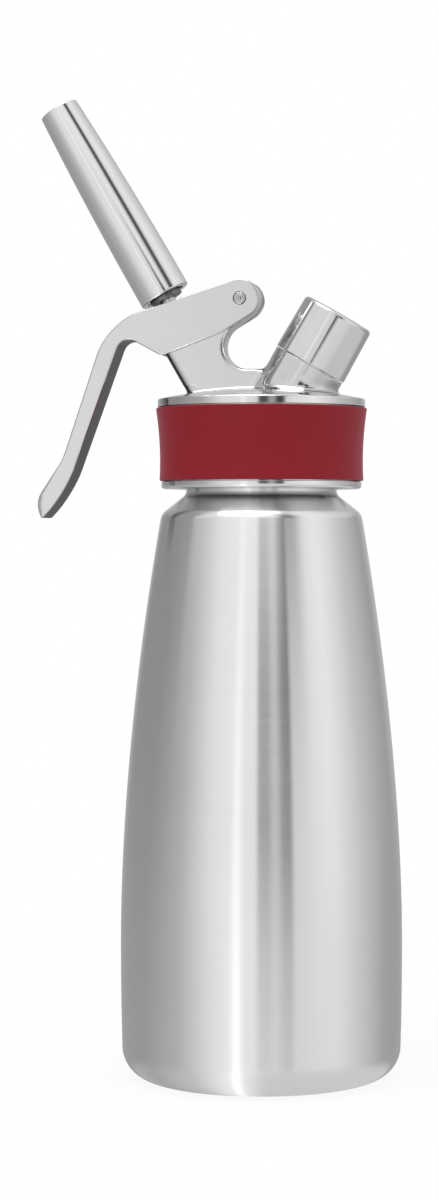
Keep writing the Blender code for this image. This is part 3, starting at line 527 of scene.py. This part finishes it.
tools.append(cut_by(turned("gas_way", gas_way, PORT_AXIS, 48)))
PIVOT_AXIS = Matrix.Translation((PIVOT[0], 0, PIVOT[1])) @ Matrix.Rotation(math.radians(90), 4, "X")
drill = [(0, 0.012, 0), (0.0024, 0.012, 0), (0.0024, -0.012, 0), (0, -0.012, 0)]
tools.append(cut_by(turned("pin_drill", drill, PIVOT_AXIS, 48)))
head_crown = made("head_crown", worked(crown, *tools))
spigot_profile = [
    (0.0015, 0.0162, 0), (0.0072, 0.0162, 0), (0.0072, 0.0293, 0.0003), (0.0096, 0.0293, 0.0004),
    (0.0096, 0.0134, 0), (0.0015, 0.0134, 0),
]
spigot = turned("port_spigot", spigot_profile, PORT_AXIS, 80)
spigot_thread = screw_ridge("spigot_ridge", 0.0092, 0.0105, *FINE_THREAD, 3, 0.0170, PORT_AXIS)
collar_thread = screw_ridge("collar_ridge", 0.0291, 0.0272, *COARSE_THREAD, 2.5, 0.21614)

polish = {"shade": 0.05, "swing": 0.06, "patch_scale": 90}
casting_steel = steel("casting_steel", (0.64, 0.64, 0.64), 0.12, (220, 220, 220), **polish)
collar_steel = steel("collar_steel", (0.78, 0.78, 0.78), 0.13, (60, 60, 1600), **polish)
for piece in (head_collar, collar_thread):
    dress(piece, collar_steel, "head", "polished_steel", "head_casting")
for piece in (head_crown, spigot, spigot_thread):
    dress(piece, casting_steel, "head", "polished_steel", "head_casting")


def between(value, low, high):
    """How far a value has come from low to high, from 0 to 1."""
    return min(max((value - low) / (high - low), 0), 1)


# The photo shows the block's back edges and the foot of the bridge darker than the rest of the casting
PAINTED_SHADE_GREY = 0.09
# Painted shade: a weight at each corner mixes a dark grey into the casting's base colour along the block's
# back edges and the bridge's foot
painted_corner_shade = head_crown.data.attributes.new("painted_corner_shade", "FLOAT", "POINT")
for corner in head_crown.data.vertices:
    x, y, z = corner.co
    rise = z - dome_height(math.hypot(x, y))
    dark = 0
    if x < -0.012 and rise > 0.0003:
        dark = between(-corner.normal.x, 0.40, 0.60)
    if abs(y) > 0.0085 and -0.0003 < rise < 0.0035:
        foot = between(corner.normal.z, 0.06, 0.20) * between(-corner.normal.z, -0.985, -0.92)
        dark = max(dark, foot * between(-x, 0, 0.004))
    painted_corner_shade.data[corner.index].value = dark
tree = casting_steel.node_tree
shader = tree.nodes["Principled BSDF"]
painted_shade_mask = tree.nodes.new("ShaderNodeAttribute")
painted_shade_mask.attribute_name = "painted_corner_shade"
darker = tree.nodes.new("ShaderNodeMix")
darker.data_type = "RGBA"
tree.links.new(painted_shade_mask.outputs["Fac"], darker.inputs[0])
tree.links.new(shader.inputs["Base Color"].links[0].from_socket, darker.inputs[6])
darker.inputs[7].default_value = (PAINTED_SHADE_GREY, PAINTED_SHADE_GREY, PAINTED_SHADE_GREY, 1)
tree.links.new(darker.outputs[2], shader.inputs["Base Color"])


# The grip band
# A wide sleeve of dark red silicone, stretched over the collar for a dry grip. It has a slight waist low down
# and flares out to the flange, and its surface is matt with a soft sheen.
BAND_LOW = 0.2120
BAND_HIGH = 0.2379
BAND_BORE = 0.0336
WAIST_RADIUS = 0.0361
WAIST_SHARE = 0.26


def band_radius(share):
    """Outer radius at a share of the height."""
    if share < WAIST_SHARE:
        return WAIST_RADIUS + 0.0002 * (1 - share / WAIST_SHARE) ** 2
    return WAIST_RADIUS + 0.0015 * ((share - WAIST_SHARE) / (1 - WAIST_SHARE)) ** 2


band_profile = [(BAND_BORE, BAND_HIGH, 0), (band_radius(1), BAND_HIGH, 0.0005)]
for step in range(1, 18):
    share = 1 - step / 18
    band_profile.append((band_radius(share), BAND_LOW + (BAND_HIGH - BAND_LOW) * share, 0))
band_profile += [(band_radius(0), BAND_LOW, 0.0005), (BAND_BORE, BAND_LOW, 0)]
grip_band = turned("grip_sleeve", band_profile, steps=144)
red_silicone = rubber("red_silicone", (0.25, 0.009, 0.017), 0.5, sheen=0.2, shade=0.12, bump=0.2)
dress(grip_band, red_silicone, "head", "red_silicone", "grip_band")


# The valve
# A hollow stem slides in the slanted bore. A silicone seal on its foot shuts the bore from below, an o-ring
# with a washer over it seals the stem, and a spring of drawn wire pushes the stem's collar up to the lever.
valve_steel = steel("valve_steel", (0.66, 0.66, 0.66), 0.22, (200, 200, 4000), VALVE_AXIS, patch_scale=200)
black_rubber = rubber("black_rubber", (0.03, 0.03, 0.03), 0.45)
for name in ("valve_stem", "spring_washer", "stem_collar"):
    refinish(name, valve_steel)
# Painted shade: the hub under the nozzle gets a dark, dull steel colour so that it reads as shaded
refinish("nozzle_adapter", steel("adapter_painted_shade", (0.20, 0.20, 0.20), 0.35, (200, 200, 4000), VALVE_AXIS))
refinish("valve_seal", white_silicone)
refinish("stem_o_ring", black_rubber)
COIL_RADIUS = 0.0035
WIRE_RADIUS = 0.00035
COIL_LOW = 0.01235
COIL_HIGH = 0.0331956
COIL_TURNS = 8
COIL_STEPS = 30
work = bmesh.new()
bmesh.ops.create_circle(work, cap_ends=True, segments=12, radius=WIRE_RADIUS)
bmesh.ops.rotate(work, verts=work.verts, cent=(0, 0, 0), matrix=Matrix.Rotation(math.radians(90), 3, "X"))
bmesh.ops.translate(work, verts=work.verts, vec=(COIL_RADIUS, 0, COIL_LOW))
bmesh.ops.spin(
    work, geom=work.verts[:] + work.edges[:] + work.faces[:], cent=(0, 0, 0), axis=(0, 0, 1),
    dvec=(0, 0, (COIL_HIGH - COIL_LOW) / (COIL_TURNS * COIL_STEPS)), angle=2 * math.pi * COIL_TURNS,
    steps=COIL_TURNS * COIL_STEPS,
)
bmesh.ops.holes_fill(work, edges=[edge for edge in work.edges if edge.is_boundary])
bmesh.ops.recalc_face_normals(work, faces=work.faces)
work.transform(VALVE_AXIS)
spring = made("return_spring", work)
spring_steel = steel("spring_steel", (0.55, 0.55, 0.56), 0.25, (900, 900, 900), VALVE_AXIS, patch_scale=300)
dress(spring, spring_steel, "head", "spring_steel", "valve_spring")
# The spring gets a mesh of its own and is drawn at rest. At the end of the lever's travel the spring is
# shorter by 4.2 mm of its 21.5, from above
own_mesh(spring)


# The lever and its pin
# The squeeze lever is a polished casting that straddles the valve block on two cheeks. Its web has a slot for
# the stem and presses the collar down, and its long handle sweeps down beside the bottle and curls out at the
# tip. A pin with a groove and a slit in each end holds it to the knuckle.
LEVER_WIDTH = 0.0152
corners = [
    (-0.047680, -0.008085, 0.023467), (-0.063921, -0.056677, 0.019966), (-0.073829, -0.071906, 0.007003),
    (-0.071669, -0.078422, 0.000819), (-0.062878, -0.069080, 0.044700), (-0.042316, -0.012403, 0.004619),
    (-0.0282355, -0.0201745, 0.0026075), (-0.0049915, -0.0112255, 0.0149745),
]
side_view = [(PIVOT[0] + x, PIVOT[1] + z, rounding) for x, z, rounding in corners]
side_view += arc_corners(PIVOT, 0.0070, -58.7073, 107.9465, 3)

# Its edges are lightly rounded, and more so round the outside of the curled tip
work = plate_work(side_view, LEVER_WIDTH, 0.0006, 3)
curl_centre = Vector((PIVOT[0] - 0.0668, 0, PIVOT[1] - 0.0715))
for corner in work.verts:
    low = PIVOT[1] - corner.co.z
    if corner.co.x < -0.0780 and low > 0.0675:
        worn = min((low - 0.0675) / 0.004, max(0.0790 - low, 0) / 0.004, 1)
        inward = Vector((curl_centre.x - corner.co.x, 0, curl_centre.z - corner.co.z)).normalized()
        corner.co += inward * 0.0012 * worn * max(abs(corner.co.y) - LEVER_WIDTH / 2 + 0.0006, 0) / 0.0006
blank = made("lever_blank", work)
hollow = [(-0.0122, 0.0097, 0), (-0.0122, 0.039301, 0), (0.0142, 0.033664, 0), (0.0142, 0.0420, 0)]
hollow += [(0.0500, 0.0420, 0), (0.0500, 0.0097, 0)]
work = plate_work(hollow, 0.0108)
work.transform(VALVE_AXIS)
pocket = made("pocket", work)
slot_shape = [
    (-0.0032, -0.0032, 0.00319), (-0.0032, 0.0032, 0.00319), (0.00545, 0.0032, 0.00319),
    (0.00545, -0.0032, 0.00319),
]
work = plate_work(slot_shape, 0.013)
work.transform(VALVE_AXIS @ Matrix.Translation((0, 0, 0.0393)) @ Matrix.Rotation(math.radians(90), 4, "X"))
slot = made("slot", work)
drill = turned("lever_drill", drill, PIVOT_AXIS, 48)
work = worked(blank, cut_by(pocket), cut_by(slot), cut_by(drill))
lever = made("squeeze_lever", work)
lever_steel = steel("lever_finish", (0.64, 0.64, 0.64), 0.13, (90, 1400, 90), **polish)
dress(lever, lever_steel, "lever", "lever_steel", "lever")
# The side of the handle that faces the bottle is darker in the photo
# Painted shade: a darker, duller copy of the lever steel with dimmed reflections goes on the handle's inner
# faces
inner_painted_shade = steel("lever_inner_painted_shade", (0.30, 0.30, 0.30), 0.24, (90, 1400, 90), **polish)
inner_painted_shade.node_tree.nodes["Principled BSDF"].inputs["Specular Tint"].default_value = (0.5, 0.5, 0.5, 1)
lever.data.materials.append(inner_painted_shade)
for face in lever.data.polygons:
    inward = face.normal.x > 0.3 or face.normal.z < -0.3
    if abs(face.normal.y) < 0.5 and inward and face.center.x < -0.027:
        face.material_index = 1
PIN_HALF = 0.0080
GROOVE_FLOOR = 0.0076
pin_end = [
    (0, PIN_HALF, 0), (0.00135, PIN_HALF, 0.0002), (0.00145, GROOVE_FLOOR, 0), (0.00155, GROOVE_FLOOR, 0),
    (0.0017, PIN_HALF, 0.0001), (0.0021, PIN_HALF, 0.0003),
]
pin_profile = pin_end + [(radius, -height, rounding) for radius, height, rounding in reversed(pin_end)]
pin_slit = [(-0.00018, -0.003, 0), (0.00018, -0.003, 0), (0.00018, 0.003, 0), (-0.00018, 0.003, 0)]
slit_tools = []
for end in (-1, 1):
    work = plate_work(pin_slit, 0.0030)
    bmesh.ops.translate(work, verts=work.verts, vec=(PIVOT[0], end * (0.0075 + 0.0015), PIVOT[1]))
    slit_tools.append(cut_by(made("pin_slit", work)))
pin = made("split_pin", worked(turned("split_pin", pin_profile, PIVOT_AXIS, 48), *slit_tools))
pin_steel = steel("pin_finish", (0.66, 0.66, 0.66), 0.16, (900, 900, 900), patch_scale=400)
dress(pin, pin_steel, "head", "pin_steel", "lever_pin")


# The nozzle
# A plain cone of polished steel, turned from bar, that screws onto the stem's adapter and seats on a silicone
# washer. Its mouth is a thin rounded edge.
refinish("nozzle_washer", white_silicone)
NOZZLE_FOOT = 0.0425293
NOZZLE_TIP = 0.1202293
NOZZLE_WIDE = 0.00925
NOZZLE_NARROW = 0.00715
SOCKET_RADIUS = 0.0071
SOCKET_TOP = 0.0572140
NOZZLE_BORE = 0.00615
nozzle_profile = [(NOZZLE_NARROW, NOZZLE_TIP, 0.0003)]
for step in range(1, 20):
    share = 1 - step / 20
    radius = NOZZLE_WIDE - (NOZZLE_WIDE - NOZZLE_NARROW) * share ** 2
    nozzle_profile.append((radius, NOZZLE_FOOT + (NOZZLE_TIP - NOZZLE_FOOT) * share, 0))
nozzle_profile += [
    (NOZZLE_WIDE, NOZZLE_FOOT, 0.0005), (SOCKET_RADIUS, NOZZLE_FOOT, 0.0002), (SOCKET_RADIUS, SOCKET_TOP, 0),
    (NOZZLE_BORE, SOCKET_TOP, 0), (NOZZLE_BORE, NOZZLE_TIP, 0.0003),
]
nozzle = turned("nozzle_cone", nozzle_profile, VALVE_AXIS, 96)
nozzle_ridge = screw_ridge("nozzle_ridge", 0.0075, 0.0062, *FINE_THREAD, 2.5, 0.0444141, VALVE_AXIS)
nozzle_steel = steel("nozzle_finish", (0.775, 0.785, 0.775), 0.12, (60, 60, 1800), VALVE_AXIS, **polish)
for piece in (nozzle, nozzle_ridge):
    dress(piece, nozzle_steel, "nozzle", "nozzle_steel", "nozzle")


# The charger port
# The brass insert is screwed into the bore of the port and holds the needle and the charger's seal. Below it
# a rubber disc over a plug lets the gas in and keeps the cream out.
brass = steel("plated_brass", (0.66, 0.60, 0.45), 0.25, (200, 200, 3000), PORT_AXIS, patch_scale=150)
port_steel = steel("port_steel", (0.66, 0.66, 0.66), 0.22, (200, 200, 3000), PORT_AXIS, patch_scale=200)
refinish("needle_insert", brass)
refinish("charger_needle", port_steel)
refinish("charger_seal", white_silicone)
refinish("check_valve_disc", black_rubber)
refinish("check_valve_plug", port_steel)


# The protective cap
# A smooth screw cap of polished steel that covers the charger port when no charger holder is on it. A
# silicone liner lies inside its roof.
CAP_MOUTH = 0.0140
CAP_BORE = 0.0108
CAP_ROOF = 0.0314
cap_profile = [
    (0, 0.0349, 0), (0.0066, 0.0348, 0), (0.0132, 0.0345, 0.0014), (0.0136, CAP_MOUTH, 0.0004),
    (CAP_BORE, CAP_MOUTH, 0.0002), (CAP_BORE, CAP_ROOF, 0), (0, CAP_ROOF, 0),
]
cap = turned("port_cap", cap_profile, PORT_AXIS, 112)
cap_ridge = screw_ridge("cap_ridge", 0.0112, 0.0099, *FINE_THREAD, 3, 0.0159, PORT_AXIS)
cap_steel = steel("cap_finish", (0.70, 0.70, 0.70), 0.08, (60, 60, 1800), PORT_AXIS, **polish)
for piece in (cap, cap_ridge):
    dress(piece, cap_steel, "cap", "cap_steel", "protective_cap")
refinish("cap_liner", white_silicone)


# The studio
# A white floor and surround, wide softboxes left and right of the camera with a dark gap between them, a
# broad light overhead, and the camera at the photograph's angle.
CAMERA_TURN = math.radians(8.3)
CAMERA_DISTANCE = 1.07
CAMERA_HEIGHT = 0.191
FLOOR_REACH = 0.45
TABLE_REACH = 0.96
work = bmesh.new()
bmesh.ops.create_grid(work, x_segments=1, y_segments=1, size=FLOOR_REACH)
mesh = bpy.data.meshes.new("floor")
work.to_mesh(mesh)
work.free()
floor = bpy.data.objects.new("floor", mesh)
bpy.context.scene.collection.objects.link(floor)
floor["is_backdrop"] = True
paper = bpy.data.materials.new("white_paper")
paper.use_nodes = True
tree = paper.node_tree
shader = tree.nodes["Principled BSDF"]
shader.inputs["Base Color"].default_value = (0.9, 0.9, 0.9, 1)
shader.inputs["Roughness"].default_value = 0.9
shader.inputs["Specular IOR Level"].default_value = 0.1
glow = tree.nodes.new("ShaderNodeEmission")
path = tree.nodes.new("ShaderNodeLightPath")
blend = tree.nodes.new("ShaderNodeMixShader")
tree.links.new(maths(tree, "MULTIPLY", path.outputs["Is Camera Ray"], 0.9), blend.inputs[0])
tree.links.new(shader.outputs[0], blend.inputs[1])
tree.links.new(glow.outputs[0], blend.inputs[2])

# Metal sees the studio's white table top in place of this sheet
mirrored = maths(tree, "MAXIMUM", path.outputs["Is Glossy Ray"], path.outputs["Is Transmission Ray"])
clear = tree.nodes.new("ShaderNodeBsdfTransparent")
both = tree.nodes.new("ShaderNodeMixShader")
tree.links.new(mirrored, both.inputs[0])
tree.links.new(blend.outputs[0], both.inputs[1])
tree.links.new(clear.outputs[0], both.inputs[2])
tree.links.new(both.outputs[0], tree.nodes["Material Output"].inputs["Surface"])
mesh.materials.append(paper)

world = bpy.data.worlds.new("studio")
bpy.context.scene.world = world
world.use_nodes = True
tree = world.node_tree
tree.nodes.clear()
spots = tree.nodes.new("ShaderNodeTexCoord")
split = tree.nodes.new("ShaderNodeSeparateXYZ")
tree.links.new(spots.outputs["Generated"], split.inputs[0])
# The turn round the studio, from 0 to 1, with the camera's side at a half
turn = maths(tree, "ARCTAN2", split.outputs["X"], maths(tree, "MULTIPLY", split.outputs["Y"], -1))
turn = maths(tree, "SUBTRACT", turn, CAMERA_TURN)
turn = maths(tree, "ADD", maths(tree, "DIVIDE", turn, 2 * math.pi), 0.5)
turn = maths(tree, "FRACT", turn, 0)


def along(x_share, y_share):
    """How far a direction goes along a level line."""
    by_y = maths(tree, "MULTIPLY", split.outputs["Y"], y_share)
    return maths(tree, "ADD", by_y, maths(tree, "MULTIPLY", split.outputs["X"], x_share))


# Low down the lights run on over the table, straight towards the foot of the dispenser
toward = along(math.sin(CAMERA_TURN), -math.cos(CAMERA_TURN))
across = along(math.cos(CAMERA_TURN), math.sin(CAMERA_TURN))
table_turn = maths(tree, "ARCTAN2", across, maths(tree, "ADD", toward, TABLE_REACH))
table_turn = maths(tree, "ADD", maths(tree, "DIVIDE", table_turn, math.pi), 0.5)


def shades(lights, round_by=turn):
    """A ramp of grey round the studio. Each light has its first and last degree and its level."""
    stops = []
    for first, last, level in lights.values():
        stops.append((first, level))
        if last > first:
            stops.append((last, level))
    node_of = tree.nodes.new("ShaderNodeValToRGB")
    ramp = node_of.color_ramp
    for angle, level in stops[1:-1]:
        ramp.elements.new((angle + 180) / 360)
    for element, (angle, level) in zip(ramp.elements, stops):
        element.color = (level, level, level, 1)
    tree.links.new(round_by, node_of.inputs[0])
    return node_of.outputs[0]


def crossed(lower, upper, first, last):
    """Two shades blended by the height of the direction."""
    rise = tree.nodes.new("ShaderNodeMapRange")
    rise.interpolation_type = "SMOOTHSTEP"
    for label, value in (("From Min", first), ("From Max", last), ("To Min", 0), ("To Max", 1)):
        rise.inputs[label].default_value = value
    tree.links.new(split.outputs["Z"], rise.inputs["Value"])
    mix = tree.nodes.new("ShaderNodeMix")
    mix.data_type = "RGBA"
    tree.links.new(rise.outputs[0], mix.inputs[0])
    for socket, value in ((mix.inputs[6], lower), (mix.inputs[7], upper)):
        if isinstance(value, float):
            socket.default_value = (value, value, value, 1)
        else:
            tree.links.new(value, socket)
    return mix.outputs[2]


# What stands round the dispenser, in degrees from the camera's side: minus is left, 180 straight behind
walls = shades({
    "pale wall behind": (-180, -180, 0.62),
    "dim left corner": (-150, -105, 0.31),
    "left box, outer edge": (-70, -70, 0.47),
    "left box": (-42, -25, 0.91),
    "bright strip": (-20.5, -20.5, 1.12),
    "left box, inner end": (-15, -4, 0.88),
    "black card": (-3, 6, 0.06),
    "slit in the card": (9, 14, 0.41),
    "black card, right half": (17, 25, 0.02),
    "right box, inner end": (26.5, 26.5, 0.85),
    "right box": (61, 61, 1.02),
    "right box, outer edge": (95, 95, 0.63),
    "dim right corner": (140, 140, 0.39),
    "pale wall, right half": (180, 180, 0.62),
})
skirting = shades({
    "dim left corner": (-180, -112, 0.39),
    "left box, outer edge": (-72, -72, 0.52),
    "left box": (-26, -26, 1.04),
    "bright strip": (-20.5, -20.5, 1.50),
    "under the card": (-15, -5, 0.98),
    "right box": (26, 66, 0.87),
    "dim right corner": (120, 180, 0.40),
})
table_top = shades({
    "far side": (-180, -180, 0.60),
    "shaded left": (-104, -104, 0.46),
    "before the left box": (-60, -60, 0.65),
    "left box's foot": (-27, -27, 1.08),
    "bright strip": (-21, -21, 1.50),
    "beside the strip": (-15, -15, 1.02),
    "plain table": (4, 150, 0.73),
    "far side, right half": (180, 180, 0.60),
}, table_turn)
upper_boxes = shades({
    "room behind": (-180, -180, 0.48),
    "dim left corner": (-90, -90, 0.34),
    "left box": (-85, -60, 0.92),
    "front box": (-20, 14, 0.99),
    "front box, right edge": (20, 20, 0.80),
    "dark gap": (29, 39, 0.08),
    "right box, inner edge": (49, 49, 0.84),
    "right box": (62, 78, 0.98),
    "right box, outer edge": (150, 150, 0.60),
    "room, right half": (180, 180, 0.48),
})
sky = crossed(table_top, skirting, -0.44, -0.32)
sky = crossed(sky, walls, -0.12, 0.00)
sky = crossed(sky, upper_boxes, 0.26, 0.36)
sky = crossed(sky, 1.1, 0.70, 0.95)
studio_light = tree.nodes.new("ShaderNodeBackground")
tree.links.new(sky, studio_light.inputs["Color"])
backdrop = tree.nodes.new("ShaderNodeBackground")
path = tree.nodes.new("ShaderNodeLightPath")
blend = tree.nodes.new("ShaderNodeMixShader")
tree.links.new(path.outputs["Is Camera Ray"], blend.inputs[0])
tree.links.new(studio_light.outputs[0], blend.inputs[1])
tree.links.new(backdrop.outputs[0], blend.inputs[2])
output = tree.nodes.new("ShaderNodeOutputWorld")
tree.links.new(blend.outputs[0], output.inputs["Surface"])
backdrop.inputs["Color"].default_value = (1, 1, 1, 1)


def softbox(name, place, aim, size, power):
    """A soft square lamp aimed at a point."""
    lamp = bpy.data.lights.new(name, "AREA")
    lamp.shape = "RECTANGLE"
    lamp.size, lamp.size_y = size
    lamp.energy = power
    stand = bpy.data.objects.new(name, lamp)
    stand.location = place
    stand.rotation_euler = (Vector(aim) - Vector(place)).to_track_quat("-Z", "Y").to_euler()
    bpy.context.scene.collection.objects.link(stand)


softbox("overhead_lamp", (-0.2, -0.3, 1.5), (0, 0, 0.2), (0.9, 0.9), 8)

camera = bpy.data.cameras.new("camera")
camera.sensor_fit = "VERTICAL"
camera.sensor_height = 24
camera.lens = 60.1
camera.shift_x = -0.0354
camera.shift_y = -0.05
camera.clip_start = 0.01
stand = bpy.data.objects.new("camera", camera)
stand.location = (
    CAMERA_DISTANCE * math.sin(CAMERA_TURN), -CAMERA_DISTANCE * math.cos(CAMERA_TURN), CAMERA_HEIGHT,
)
stand.rotation_euler = (math.radians(90), 0, CAMERA_TURN)
bpy.context.scene.collection.objects.link(stand)
bpy.context.scene.camera = stand
bpy.context.scene.view_settings.view_transform = "Standard"

low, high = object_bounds()
